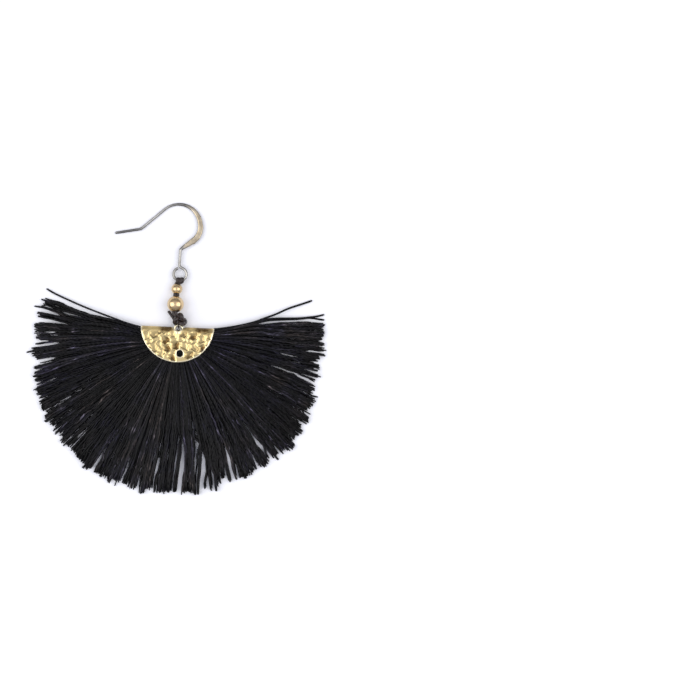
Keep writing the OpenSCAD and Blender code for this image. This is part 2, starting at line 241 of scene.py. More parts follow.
def joined(parts):
    """Several tubes as one set of verts, faces and uvs."""
    verts, sets, uvs, shift = [], {}, {}, 0
    for v, faces, uv, _ in parts:
        for f, t in zip(faces, uv):
            sets.setdefault(f.shape[1], []).append(f + shift)
            uvs.setdefault(f.shape[1], []).append(t)
        verts.append(v)
        shift += len(v)
    keys = sorted(sets)
    faces = [np.concatenate(sets[k]) for k in keys]
    return np.concatenate(verts), faces, [np.concatenate(uvs[k]) for k in keys]


# Materials

class Nodes:
    """A node tree with short calls."""

    def __init__(self, tree):
        self.tree = tree

    def add(self, kind, **values):
        node = self.tree.nodes.new("ShaderNode" + kind)
        for key, value in values.items():
            node.inputs[key.replace("_", " ")].default_value = value
        return node

    def link(self, a, b):
        self.tree.links.new(a, b)

    def coords(self, kind="Object"):
        return self.add("TexCoord").outputs[kind]

    def attribute(self, name):
        node = self.add("Attribute")
        node.attribute_name = name
        return node.outputs["Fac"]

    def uv(self):
        node = self.add("UVMap")
        node.uv_map = "along"
        return node.outputs[0]

    def noise(self, scale, detail, rough, vector=None):
        node = self.add("TexNoise", Scale=scale, Detail=detail, Roughness=rough)
        self.link(self.coords() if vector is None else vector, node.inputs["Vector"])
        return node.outputs["Fac"]

    def scaled(self, vector, scale):
        node = self.add("Mapping", Scale=scale)
        self.link(vector, node.inputs["Vector"])
        return node.outputs[0]

    def math(self, operation, a, b=None, c=None, clamp=False):
        node = self.add("Math")
        node.operation = operation
        node.use_clamp = clamp
        for i, value in enumerate((a, b, c)):
            if value is None:
                continue
            if isinstance(value, (int, float)):
                node.inputs[i].default_value = value
            else:
                self.link(value, node.inputs[i])
        return node.outputs[0]

    def ramp(self, fac, stops):
        node = self.add("ValToRGB")
        ramp = node.color_ramp
        while len(ramp.elements) < len(stops):
            ramp.elements.new(0.5)
        for element, (place, value) in zip(ramp.elements, stops):
            element.position = place
            element.color = (*value, 1) if isinstance(value, tuple) else (value, value, value, 1)
        self.link(fac, node.inputs[0])
        return node.outputs[0]

    def times(self, a, b):
        return self.mix(1.0, a, b, "MULTIPLY")

    def mix(self, fac, a, b, blend="MIX"):
        node = self.add("Mix")
        node.data_type = "RGBA"
        node.blend_type = blend
        for key, value in (("Factor", fac), ("A", a), ("B", b)):
            socket = next(s for s in node.inputs if s.name == key and s.enabled)
            if isinstance(value, (int, float)):
                socket.default_value = value
            elif isinstance(value, tuple):
                socket.default_value = (*value, 1)
            else:
                self.link(value, socket)
        return next(s for s in node.outputs if s.enabled)

    def separate(self, vector):
        node = self.add("SeparateXYZ")
        self.link(vector, node.inputs[0])
        return node.outputs

    def combine(self, *values):
        node = self.add("CombineXYZ")
        for value, socket in zip(values, node.inputs):
            if isinstance(value, float):
                socket.default_value = value
            else:
                self.link(value, socket)
        return node.outputs[0]

    def bump(self, height, distance, strength, after=None):
        node = self.add("Bump", Strength=strength, Distance=distance)
        self.link(height, node.inputs["Height"])
        if after is not None:
            self.link(after, node.inputs["Normal"])
        return node.outputs[0]


class Finish(Nodes):
    """A new material of one shader with values on its sockets."""

    def __init__(self, name, **values):
        self.material = bpy.data.materials.new(name)
        self.material.use_nodes = True
        super().__init__(self.material.node_tree)
        self.tree.nodes.clear()
        self.shader = self.add("BsdfPrincipled", **values)
        self.link(self.shader.outputs[0], self.add("OutputMaterial").inputs[0])

    def colour(self, socket):
        self.link(socket, self.shader.inputs["Base Color"])

    def rough(self, socket):
        self.link(socket, self.shader.inputs["Roughness"])

    def normal(self, socket):
        self.link(socket, self.shader.inputs["Normal"])


FINE_BUMP = 0.00002


def metal(name, light, dark, rough, tarnish, grain):
    """Polished metal with stains and fine scratches."""
    n = Finish(name, Metallic=1.0)
    clouds = n.noise(grain, 4, 0.6)
    stain = n.ramp(n.noise(grain * 0.35, 3, 0.55), [(0.42, 0.0), (0.72, tarnish)])
    n.colour(n.mix(stain, n.mix(clouds, light, tuple(c * 0.86 for c in light)), dark))
    n.rough(n.ramp(clouds, [(0.3, rough[0]), (0.75, rough[1])]))
    fine = n.noise(1.0, 3, 0.6, n.scaled(n.coords(), (9000, 1500, 4000)))
    n.normal(n.bump(fine, FINE_BUMP, 0.5))
    return n.material


def cover(piece, material):
    piece.data.materials.clear()
    piece.data.materials.append(material)


def wear_as(piece, material):
    cover(piece, material)


# The hook

# The wire's two ends are rounded: distance along it and share of its full width
FREE_END = ((0.0, 0.6), (0.07, 0.82), (0.14, 0.94), (0.22, 1.0))
EYE_END = ((0.08, 0.93), (0.14, 0.78))
STRAIGHT_STEP = 0.35
BEND_STEP = 4
HOOK_SIDES = 28


def way_of(heading):
    a = math.radians(heading)
    return np.array([math.cos(a), math.sin(a)])


def hook_stations():
    """Rows along the ear wire: place, heading, width, and thickness where it isn't the usual one."""
    at, heading, width = HOOK_START, HOOK_HEADING, WIRE_D

    def rounded(end):
        return [(at + run * way_of(heading), heading, WIRE_D * share, WIRE_D * share) for run, share in end]

    rows = rounded(FREE_END)
    for index, (straight, radius, turn, end_width) in enumerate(HOOK):
        direction = way_of(heading)
        arc = radius * math.radians(abs(turn))
        grow = (end_width - width) / (straight + arc)
        steps = max(1, int(straight / STRAIGHT_STEP))
        for k in range(1, steps + 1):
            run = straight * k / steps
            if straight > 0 and (index > 0 or run > 2 * FREE_END[-1][0]):
                rows.append((at + run * direction, heading, width + grow * run, None))
        corner = at + straight * direction
        way = math.copysign(1, turn)
        centre = corner + way * radius * np.array([-direction[1], direction[0]])
        steps = max(4, int(abs(turn) / BEND_STEP))
        for k in range(1, steps + 1):
            now = heading + turn * k / steps
            a = math.radians(now)
            place = centre + way * radius * np.array([math.sin(a), -math.cos(a)])
            rows.append((place, now, width + grow * (straight + arc * k / steps), None))
        at, heading, width = rows[-1][0], rows[-1][1], end_width
    return rows + rounded(EYE_END)


# How light the wire's colour is along its run: dark at its free end and crest, light between
HOOK_TONES = [
    (0, 0.16), (6.5, 0.2), (8.5, 0.75), (14, 0.82), (17.5, 0.55), (19.5, 0.2), (24, 0.22), (27.5, 0.62),
    (36, 0.66), (41, 0.55), (46.5, 0.62), (49, 0.25), (52, 0.3), (54, 0.75), (57, 0.7), (59.5, 0.66),
    (63, 0.8),
]
# How fast the wire gets thinner as the hammer makes it wider
FLATTENING = 0.6


def build_hook():
    rows = hook_stations()
    places = np.array([[r[0][0], r[0][1], WIRE_R] for r in rows])
    width = np.array([r[2] for r in rows])
    usual = WIRE_D * (WIRE_D / np.maximum(width, WIRE_D)) ** FLATTENING * np.minimum(1, width / WIRE_D)
    thick = np.array([r[3] or t for r, t in zip(rows, usual)])
    # the flattened front keeps soft hammer facets
    run = lengths(places)
    flat = smooth((width - 0.8) / 0.4)
    thick = thick * (1 - flat * 0.10 * (0.5 + 0.5 * np.sin(run * 5.1 + 0.8 * np.sin(run * 1.7))))
    width = width * (1 + flat * 0.035 * np.sin(run * 4.3 + 1.0))
    headings = np.radians([r[1] for r in rows])
    side = np.stack([-np.sin(headings), np.cos(headings), np.zeros(len(rows))], -1)
    top = np.broadcast_to([0.0, 0.0, 1.0], side.shape)
    halves = np.stack([width / 2, thick / 2], -1)
    # the hammered front has flat faces and round edges
    power = (1 - 0.38 * flat)[:, None, None]
    verts, faces, uvs, _ = ring_mesh(places[None], side[None], top[None], halves[None], HOOK_SIDES, power)
    # the cord under the eye tips the hook up about the line from its free end to its crest
    pivot = np.array([*HOOK_START, WIRE_R])
    turn_up = Matrix.Rotation(math.radians(-HOOK_LEAN), 3, Vector((*(CREST_AT - HOOK_START), 0)))
    verts = (verts - pivot) @ np.array(turn_up).T + pivot + FOLD_AT
    tone = np.interp(run, *zip(*HOOK_TONES))
    blade = np.concatenate([np.repeat(flat, HOOK_SIDES), flat[:1], flat[-1:]])
    tone = np.concatenate([np.repeat(tone, HOOK_SIDES), tone[:1], tone[-1:]])
    return make_mesh("hook_wire", verts, faces, uvs, {"blade": blade, "tone": tone})


# The cord, its knot and the turn round the ring

# Over the eye's wire the two strands are pressed into a flat band, nearer to the wire than round strands
BAND_NEAR = 0.72
BAND_HALF = (0.55, 0.24)
# In the knot they are squeezed wide
KNOT_STRAND = (0.47, 0.47)
# Round the ring the cord is pressed flat too
LOOP_HALF = (0.42, 0.2)
# The waxed strands cling to each other where they run side by side
STRANDS_PRESSED = 0.84
# Half the thickness of the turns inside the knot
INNER_HALF = 0.6
LOOP_GAP = 0.04
CORD_STEP = 0.12
KNOT_STEP = 0.2
CORD_SIDES = 14


def build_cord():
    bead_way = SMALL_AT - LARGE_AT
    bead_way /= np.linalg.norm(bead_way)
    parts = []
    wobble = np.random.default_rng(5)

    def strand(points, step=CORD_STEP):
        """A strand through points, each with its half width and half thickness where they aren't round."""
        rows = spline([[*row, *[CORD_D / 2] * (5 - len(row))] for row in points], step)
        path, size = rows[:, :3], rows[:, 3:]
        run = lengths(path)
        soft = 1 + 0.035 * np.sin(run * 3.1 + wobble.uniform(0, 6))
        soft = soft + 0.02 * np.sin(run * 7.7 + wobble.uniform(0, 6))
        ends = np.minimum(1, 0.55 + np.minimum(run, run[-1] - run) / 0.25)
        parts.append(rope_mesh(path + FOLD_AT, size * (soft * ends)[:, None], CORD_SIDES))

    for way in (-1, 1):
        points = []
        for across, along, up in ROUND_EYE:
            place = EYE_BOTTOM + [way * across, along * BAND_NEAR, up * BAND_NEAR]
            points.append([*place, *BAND_HALF])
        for run, off in DOWN_BEADS:
            points.append([*(LARGE_AT + run * bead_way + [way * off * STRANDS_PRESSED, 0, 0])])
        points.append([*(KNOT_AT + [way * 0.4, 0.9, 0])])
        strand(points)
    # a trefoil knot
    size = (KNOT_D - CORD_D) / 2 / 3
    t = np.linspace(0, 2 * np.pi, 150)
    knot = KNOT_AT + size * np.stack(
        [np.sin(t) + 2 * np.sin(2 * t), 2 * np.cos(2 * t) - np.cos(t), -2 * np.sin(3 * t)], -1
    )
    strand([[*at, *KNOT_STRAND] for at in knot], KNOT_STEP)
    # the turns that lie inside the knot
    a = np.linspace(0, 2 * np.pi, 30)
    inside = KNOT_AT + np.stack([0.75 * np.cos(a), 0.7 * np.sin(a), 0.25 * np.sin(2 * a)], -1)
    strand([[*at, INNER_HALF, INNER_HALF] for at in inside], KNOT_STEP)
    strand(CORD_END)
    # the turn round the ring
    loop_r = RING_WIRE_D / 2 + LOOP_HALF[1] + LOOP_GAP
    a = np.linspace(0, 2 * np.pi, 40)
    loop = RING_AT + [0, RING_R, 0] + loop_r * np.stack([0 * a, np.cos(a), np.sin(a)], -1)
    strand([[*at, *LOOP_HALF] for at in loop])
    verts, faces, uvs = joined(parts)
    return make_mesh("waxed_cord_and_knot", verts, faces, uvs)


# The folded, hammered disc

BEND_ARC = FOLD_R * math.pi / 2
CAP_GRID = 150
EDGE_ROUND = 0.24
# Hole at the fold that the ring goes through
SLOT_R = RING_R + RING_WIRE_D / 2 + 0.2
# How steep the hammer's bowls are, how sharp the ridges between them, and how high and deep they go
RIDGE_CURVE = 0.17
RIDGE_SOFT = 60
MARK_HIGH = 0.12
MARK_DEEP = 0.26
# The back's marks are in rows
BACK_ROWS = 5
BACK_PITCH = (1.95, 1.75)
BACK_FIRST = -1.6
# Pits of the front plate in the cap's own frame: x, y, radius, depth, how brown
FRONT_PITS = [
    (-5.95, -1.75, 1.45, 0.26, 0.45), (-8.2, -2.75, 1.1, 0.2, 0.1), (-3.25, -3.6, 1.15, 0.2, 0.9),
    (-6.1, -5.5, 1.2, 0.24, 0.3), (-2.65, -5.75, 1.1, 0.2, 1.0), (-0.3, -4.9, 1.15, 0.22, 0.95),
    (1.65, -1.8, 1.1, 0.22, 0.6), (4.35, -2.35, 1.15, 0.22, 0.85), (2.3, -5.0, 1.05, 0.22, 0.1),
    (4.85, -5.45, 1.1, 0.22, 0.4), (6.95, -1.4, 1.1, 0.2, 0.15), (6.6, -3.1, 1.0, 0.2, 0.35),
    (7.0, -5.7, 0.95, 0.2, 1.0), (3.5, -7.45, 1.05, 0.2, 0.75), (-1.1, -8.3, 0.95, 0.18, 0.9),
    (-4.1, -7.2, 1.05, 0.2, 0.2), (-8.6, -1.2, 0.8, 0.12, 0.0), (-1.2, -1.9, 1.0, 0.16, 0.1),
    (8.8, -2.2, 0.8, 0.14, 0.3), (-4.6, -5.0, 0.8, 0.14, 0.1), (0.9, -3.4, 0.8, 0.14, 0.2),
    (-1.0, -6.9, 0.8, 0.14, 0.3), (5.6, -7.0, 0.8, 0.14, 0.2), (-7.6, -4.3, 0.8, 0.14, 0.2),
    (-3.9, -1.2, 0.85, 0.12, 0.3), (3.2, -3.7, 0.75, 0.12, 0.0), (8.5, -4.1, 0.75, 0.14, 0.1),
]
# Brown patches along the fold: middle, half length and strength
FOLD_PATCHES = [(-2.9, 2.1, 0.8), (6.9, 2.3, 0.85), (-8.8, 0.9, 0.25), (2.0, 1.2, 0.25)]


def fold_map(x, t, sink):
    """Folds the flat disc: x along the fold, t across it, sink into the metal."""
    bend = np.abs(t) <= BEND_ARC
    a = np.clip(t, -BEND_ARC, BEND_ARC) / FOLD_R
    ny, nz = np.cos(a), np.sin(a)
    ny = np.where(bend, ny, 0)
    nz = np.where(bend, nz, np.sign(t))
    y = -FOLD_R * (1 - np.cos(a)) - np.maximum(np.abs(t) - BEND_ARC, 0)
    z = FOLD_R + FOLD_R * np.sin(a)
    return np.stack([x, y - sink * ny, z - sink * nz], -1), y


def pits_of(x, y, pits, seed):
    """Depth and brownness of hammer marks, bowls of the hammer's face that meet in soft ridges."""
    rng = np.random.default_rng(seed)
    x = x + 0.16 * np.sin(2.3 * y + 0.7) + 0.09 * np.sin(4.9 * y + 1.3 * x)
    y = y + 0.16 * np.sin(2.1 * x + 2.1) + 0.09 * np.sin(5.3 * x - 1.1 * y)
    low = np.full_like(x, -9.0)
    deepest, brown = np.full_like(x, -9.0), np.zeros_like(x)
    for px, py, radius, depth, dark in pits:
        a, squash = rng.uniform(0, np.pi), rng.uniform(0.82, 1.18)
        dx, dy = x - px, y - py
        u = (dx * math.cos(a) + dy * math.sin(a)) * squash
        v = (dy * math.cos(a) - dx * math.sin(a)) / squash
        bowl = depth - RIDGE_CURVE / radius * (u * u + v * v)
        low = np.logaddexp(low * RIDGE_SOFT, bowl * RIDGE_SOFT) / RIDGE_SOFT
        near = bowl > deepest
        deepest = np.where(near, bowl, deepest)
        # brown lies on a brown pit's floor and inside any pit's ridge, most of it at the lower right; it is
        # partly tarnish in the hollows and partly painted shade on the pits' walls, leaning to the lower
        # right
        level = bowl / depth
        lean = smooth(0.62 + 0.5 * (dx - dy) / radius)
        floor_part = dark * smooth((level - 0.25) / 0.3) * (0.4 + 0.7 * lean)
        outline = (0.62 + 0.6 * dark) * np.exp(-(((level - 0.32) / 0.17) ** 2)) * (0.35 + 0.65 * lean)
        brown = np.where(near, np.maximum(floor_part, outline), brown)
    return low, brown


def from_ring(x, t):
    """Steps along and up, and the distance, from the middle of the hole at the fold."""
    up = FOLD_R * np.sin(np.clip(t, -BEND_ARC, BEND_ARC) / FOLD_R)
    return x - RING_AT[0], up, np.where(np.abs(t) < BEND_ARC, np.hypot(x - RING_AT[0], up), 9 * SLOT_R)


def marks_of_the_back():
    rng = np.random.default_rng(12)
    pits = []
    for row in range(BACK_ROWS):
        for n in range(-5, 6):
            px = (n + (row % 2) / 2) * BACK_PITCH[0] + rng.uniform(-0.3, 0.3)
            py = BACK_FIRST - BACK_PITCH[1] * row + rng.uniform(-0.3, 0.3)
            pits.append((px, py, rng.uniform(0.95, 1.25), rng.uniform(0.14, 0.24), rng.uniform(0, 0.9)))
    return pits


def build_cap():
    # a square grid pressed into the flat disc's outline: x along the fold, t across it
    g = np.linspace(-1, 1, CAP_GRID + 1)
    a, b = np.meshgrid(g, g, indexing="ij")
    u, v = a * np.sqrt(1 - b * b / 2), b * np.sqrt(1 - a * a / 2)
    angle, share = np.arctan2(v, u), np.hypot(u, v)
    # how far the flat disc reaches each way, so that its outline is round once it is folded
    lo, hi = np.full(angle.shape, 8.0), np.full(angle.shape, 12.0)
    for _ in range(40):
        mid = (lo + hi) / 2
        _, y = fold_map(mid * np.cos(angle), mid * np.sin(angle), 0)
        out = (mid * np.cos(angle)) ** 2 + (y - DISC_AT_Y) ** 2 > DISC_R ** 2
        hi = np.where(out, mid, hi)
        lo = np.where(out, lo, mid)
    reach = (lo + hi) / 2
    x, t = (share * reach * np.cos(angle)).ravel(), (share * reach * np.sin(angle)).ravel()
    index = np.arange(g.size ** 2).reshape(g.size, g.size)
    quads = np.stack([index[:-1, :-1], index[1:, :-1], index[1:, 1:], index[:-1, 1:]], -1).reshape(-1, 4)
    # hole in the front plate and hole at the fold: vertices inside go onto the rim
    hole_t = BEND_ARC - PLATE_HOLE_AT[1] - FOLD_R
    dx, dt = x - PLATE_HOLE_AT[0], t - hole_t
    d = np.hypot(dx, dt) / PLATE_HOLE_R
    inside = d < 1
    x = np.where(inside, PLATE_HOLE_AT[0] + dx / np.maximum(d, 1e-9), x)
    t = np.where(inside, hole_t + dt / np.maximum(d, 1e-9), t)
    ex, ez, e = from_ring(x, t)
    e = e / SLOT_R
    in_slot = e < 1
    x = np.where(in_slot, RING_AT[0] + ex / np.maximum(e, 1e-9), x)
    t = np.where(in_slot, FOLD_R * np.arcsin(np.clip(ez / np.maximum(e, 1e-9) / FOLD_R, -1, 1)), t)
    gone = inside[quads].all(1) | in_slot[quads].all(1)
    quads = quads[~gone]
    # distance from any edge of the sheet, for its rounded edges and the painted highlight along them
    _, y = fold_map(x, t, 0)
    from_edge = (1 - share.ravel()) * reach.ravel()
    from_hole = np.hypot(x - PLATE_HOLE_AT[0], t - hole_t) - PLATE_HOLE_R
    from_edge = np.minimum(from_edge, np.maximum(from_hole, 0))
    from_edge = np.minimum(from_edge, np.maximum(from_ring(x, t)[2] - SLOT_R, 0))
    inward = EDGE_ROUND - np.minimum(from_edge, EDGE_ROUND)
    rounding = EDGE_ROUND - np.sqrt(np.maximum(EDGE_ROUND ** 2 - inward ** 2, 0))
    # hammer marks: the front as the photo shows it, the back with marks of its own, the fold smooth
    flat = smooth((np.abs(t) - 1.2) / 1.4)
    front, front_brown = pits_of(x, y, FRONT_PITS, 3)
    back, back_brown = pits_of(x, y, marks_of_the_back(), 4)
    marks = np.where(t > 0, front, back)
    brown = np.where(t > 0, front_brown, back_brown) * flat
    for middle, half_run, strength in FOLD_PATCHES:
        patch = strength * np.exp(-(((x - middle) / half_run) ** 4))
        brown = np.maximum(brown, patch * (1 - smooth(np.abs(t) - 2.0)))
    marks = (np.clip(marks, -MARK_HIGH, MARK_DEEP) + MARK_HIGH) * flat
    marks = marks * (0.3 + 0.7 * smooth(from_edge / 0.6))
    outer, _ = fold_map(x, t, marks + rounding)
    inner, _ = fold_map(x, t, SHEET_T + 0.3 * marks - rounding)
    # both faces without the unused vertices, and walls along every open edge
    used, quads = np.unique(quads, return_inverse=True)
    quads = quads.reshape(-1, 4)
    half = len(used)
    edges = np.concatenate([quads[:, [0, 1]], quads[:, [1, 2]], quads[:, [2, 3]], quads[:, [3, 0]]])
    key = np.sort(edges, 1) @ np.array([half, 1])
    _, first, counts = np.unique(key, return_index=True, return_counts=True)
    rim = edges[first[counts == 1]]
    walls = np.stack([rim[:, 1], rim[:, 0], rim[:, 0] + half, rim[:, 1] + half], -1)
    verts = np.concatenate([outer[used], inner[used]])
    a = math.radians(CAP_TURN)
    turned = verts @ np.array([[math.cos(a), math.sin(a), 0], [-math.sin(a), math.cos(a), 0], [0, 0, 1]])
    faces = np.concatenate([quads, quads[:, ::-1] + half, walls])
    return make_mesh("hammered_cap", turned + FOLD_AT, [faces], None, {
        "across": np.abs(np.concatenate([t[used], t[used]])),
        "edge": np.concatenate([from_edge[used], np.zeros(half)]),
        "brown": np.concatenate([brown[used], np.full(half, 0.5)]),
    })


# The fringe

def place_of(px, py):
    """Where a pixel of the photograph is, from the fold's middle."""
    return (np.asarray(px) - FOLD_PIXEL[0]) * MM_A_PIXEL, (FOLD_PIXEL[1] - np.asarray(py)) * MM_A_PIXEL


def fan_angle(slant, r):
    """The angle that a thread of this slant has at distance r: it curves outwards."""
    share = np.where(slant < 0, FLARE[0], FLARE[1])
    return slant * (1 - share * (DISC_R / np.maximum(r, 1)) ** FLARE_POWER)


def on_fan(slant, r):
    """Place of a thread of this slant at distance r."""
    a = np.radians(fan_angle(slant, r))
    return np.stack([r * np.sin(a), -r * np.cos(a)], -1)


def locks_of_the_part():
    """Left and right border of each lock, with the split beside each border."""
    rows = []
    for b, (start, end, count, opens, split) in enumerate(BUNDLES):
        for j in range(count):
            left = start + j * (end - start) / count
            right = start + (j + 1) * (end - start) / count
            before = BUNDLES[b - 1][3:] if b > 0 and j == 0 else None
            after = (opens, split) if j == count - 1 and b < len(BUNDLES) - 1 else None
            rows.append((left, right, before, after))
    return rows


tassel_mesh = nodes["tassel"].data
cad_verts = np.array([v.co for v in tassel_mesh.vertices]) / MM
cad_faces = [tuple(p.vertices) for p in tassel_mesh.polygons]
cad_tree = BVHTree.FromPolygons([Vector(v) for v in cad_verts], cad_faces)


def cad_height(x, y):
    """Top of the part's fringe there, or -1 beside it."""
    hit = cad_tree.ray_cast(Vector((x, y, 20)), Vector((0, 0, -1)))[0]
    return -1 if hit is None else hit.z


def lock_tip(slant, width):
    """Distance at which the part's own lock ends."""
    flat = cad_verts[:, :2] - FOLD_AT[:2]
    r = np.hypot(flat[:, 0], flat[:, 1])
    angle = np.degrees(np.arctan2(flat[:, 0], -flat[:, 1]))
    near = (np.abs(angle - fan_angle(slant, TIP_R)) < width / 2) & (r > 30)
    return r[near].max() if near.any() else np.interp(slant, *zip(*OUTLINE))


# Distances from the fold's middle: tips, a thread's start, the cap's rim, and where threads touch down
TIP_R = 44.0
START_R = 2.2
CAP_RIM = DISC_R + GAP
LAND_R = DISC_R + 2.3
RINGS = 27
SIDES = 6

# Splits that show the surface: pixels of the photograph and how wide each is there, in millimetres
SPLITS = [
    [(157.2, 440.4, 0), (154.5, 455, 0.32), (151.6, 470, 0.1)],
    [(161.3, 440.4, 0), (159.5, 449, 0.25), (157.8, 457, 0)],
    [(160.5, 456, 0), (157, 468, 0.5), (154.2, 479, 0.5), (154, 490, 0.4)],
    [(140.6, 470, 0), (139.2, 479, 0.3), (138, 490, 0.3)],
    [(159.4, 472, 0), (157.8, 480, 0.4), (156.6, 490, 0.5)],
    [(180.4, 431, 0), (177.8, 446, 0.45), (175.6, 462, 0.8), (173.4, 478, 0.55), (171.8, 492, 0.5)],
    [(182.4, 438, 0), (183.6, 452, 0.45), (182.4, 468, 1.0), (179.6, 480, 1.3), (177.4, 492, 0.9)],
    [(192, 417, 0), (192.3, 425, 0.3), (192.6, 432, 0)],
    [(196, 428, 0), (196.3, 436, 0.3), (196.6, 442, 0)],
    [(199.7, 438, 0), (197.4, 449, 0.5), (195.9, 458, 0.75), (195.3, 469, 0.1)],
    [(199.5, 449, 0), (198.9, 456, 0.35), (198.3, 462, 0)],
    [(199.4, 460, 0), (197.6, 470, 0.8), (197.2, 480, 0.9), (196.8, 486, 0.2)],
    [(201.2, 449, 0), (203.6, 460, 1.1), (203.3, 472, 1.6), (201.4, 482, 1.5), (199.6, 493, 1.3)],
    [(208.3, 474, 0), (207.9, 482, 1.0), (207.3, 493, 1.4)],
    [(213, 470, 0), (213.3, 478, 0.3), (212, 492, 0.5)],
    [(222.6, 440, 0), (226.4, 452, 0.55), (229.3, 461, 1.0), (231.4, 471, 0.9), (234, 484, 1.6)],
    [(234.6, 460, 0), (235.9, 466, 0.4), (237, 478, 0.5)],
    [(250.6, 451, 0), (253.7, 458, 0.35), (257.5, 467, 0.45), (260, 474, 0.5)],
    [(256.7, 438.5, 0), (259.8, 444, 0.2), (263, 450, 0)],
    [(264.4, 448, 0), (268, 454, 0.4), (273, 462, 0.9)],
    [(272, 443, 0), (276, 448, 0.5), (282, 456, 1.0)],
    [(88, 317.5, 0), (79.7, 316, 0.45), (64.8, 312.3, 0.75), (52.3, 308.6, 0.5), (42, 305.6, 0.5)],
    [(70, 308.4, 0), (60, 306.4, 0.3), (50, 303.4, 0.3)],
    [(67, 317.8, 0), (56.5, 314.6, 0.7), (44, 311, 0.9), (32, 307.8, 0.9)],
    [(72.5, 325, 0), (61.4, 323, 0.5), (50, 321, 1.1), (33, 319, 1.3)],
    [(59, 332.4, 0), (51, 332.2, 0.4), (43, 331.8, 0.15)],
    [(60.5, 343, 0), (50.7, 343.8, 0.6), (38, 345, 0.7)],
    [(52, 341.2, 0), (44, 341.3, 0.25), (35, 341.3, 0.5)],
    [(57.5, 357.6, 0), (48, 359.6, 0.4), (33, 361.5, 0.6)],
    [(254.8, 325, 0), (267.2, 322.9, 0.4), (282.1, 321, 0.55), (301.2, 320, 0.9), (322, 321.4, 0.9)],
    [(302, 351.6, 0), (312, 351.8, 0.3), (322, 351.8, 0.5)],
    [(300, 368.2, 0), (308, 370.4, 0.45), (318, 372.8, 0.6)],
    [(297, 372.2, 0), (304, 374.6, 0.3), (314, 377.6, 0.4)],
]
# They are narrower than they look, since tips lie beside them; beyond this distance they stay open
SPLIT_SHARE = 0.78
OPEN_FROM = 38
# How far from a split threads are pushed aside, and half a thread
SPLIT_REACH = 1.9
THREAD_R = 0.21
FAN_BORDERS = (-104.5, 95.0)


def part_round(flat, parts):
    """Threads part round the splits where parts is 1. The few with 0 cross them."""
    r = np.hypot(flat[..., 0], flat[..., 1])
    angle = np.arctan2(flat[..., 0], -flat[..., 1])
    for rows in SPLITS:
        px, py, wide = np.array(rows).T
        x, y = place_of(px, py)
        at_r, at_angle, wide = np.hypot(x, y), np.arctan2(x, -y), wide * SPLIT_SHARE
        stays_open = at_r[-1] > OPEN_FROM
        if stays_open:
            at_r[-1] += 2
        half = np.interp(r, at_r, wide, left=0, right=wide[-1] if stays_open else 0) / 2
        half = half + THREAD_R * smooth(half / 0.06)
        line = np.interp(r, at_r, at_angle)
        off = r * (angle - line)
        border = np.radians(fan_angle(FAN_BORDERS[0] if at_angle[0] < 0 else FAN_BORDERS[1], r))
        reach = np.clip(r * np.abs(border - line), half + 0.05, SPLIT_REACH)
        widest = np.argmin(np.abs(r - at_r[np.argmax(wide)]), axis=1)
        side = np.where(np.take_along_axis(off, widest[:, None], 1) < 0, -1.0, 1.0)
        t = off * side
        t = np.where(t < 0, t * (1 - smooth(half / 0.08)), t)
        moved = np.where(np.abs(t) < reach, half * (1 - np.abs(t) / reach) + t, t) * side
        angle = angle + (moved - off) / r * parts
    return np.stack([r * np.sin(angle), -r * np.cos(angle)], -1)


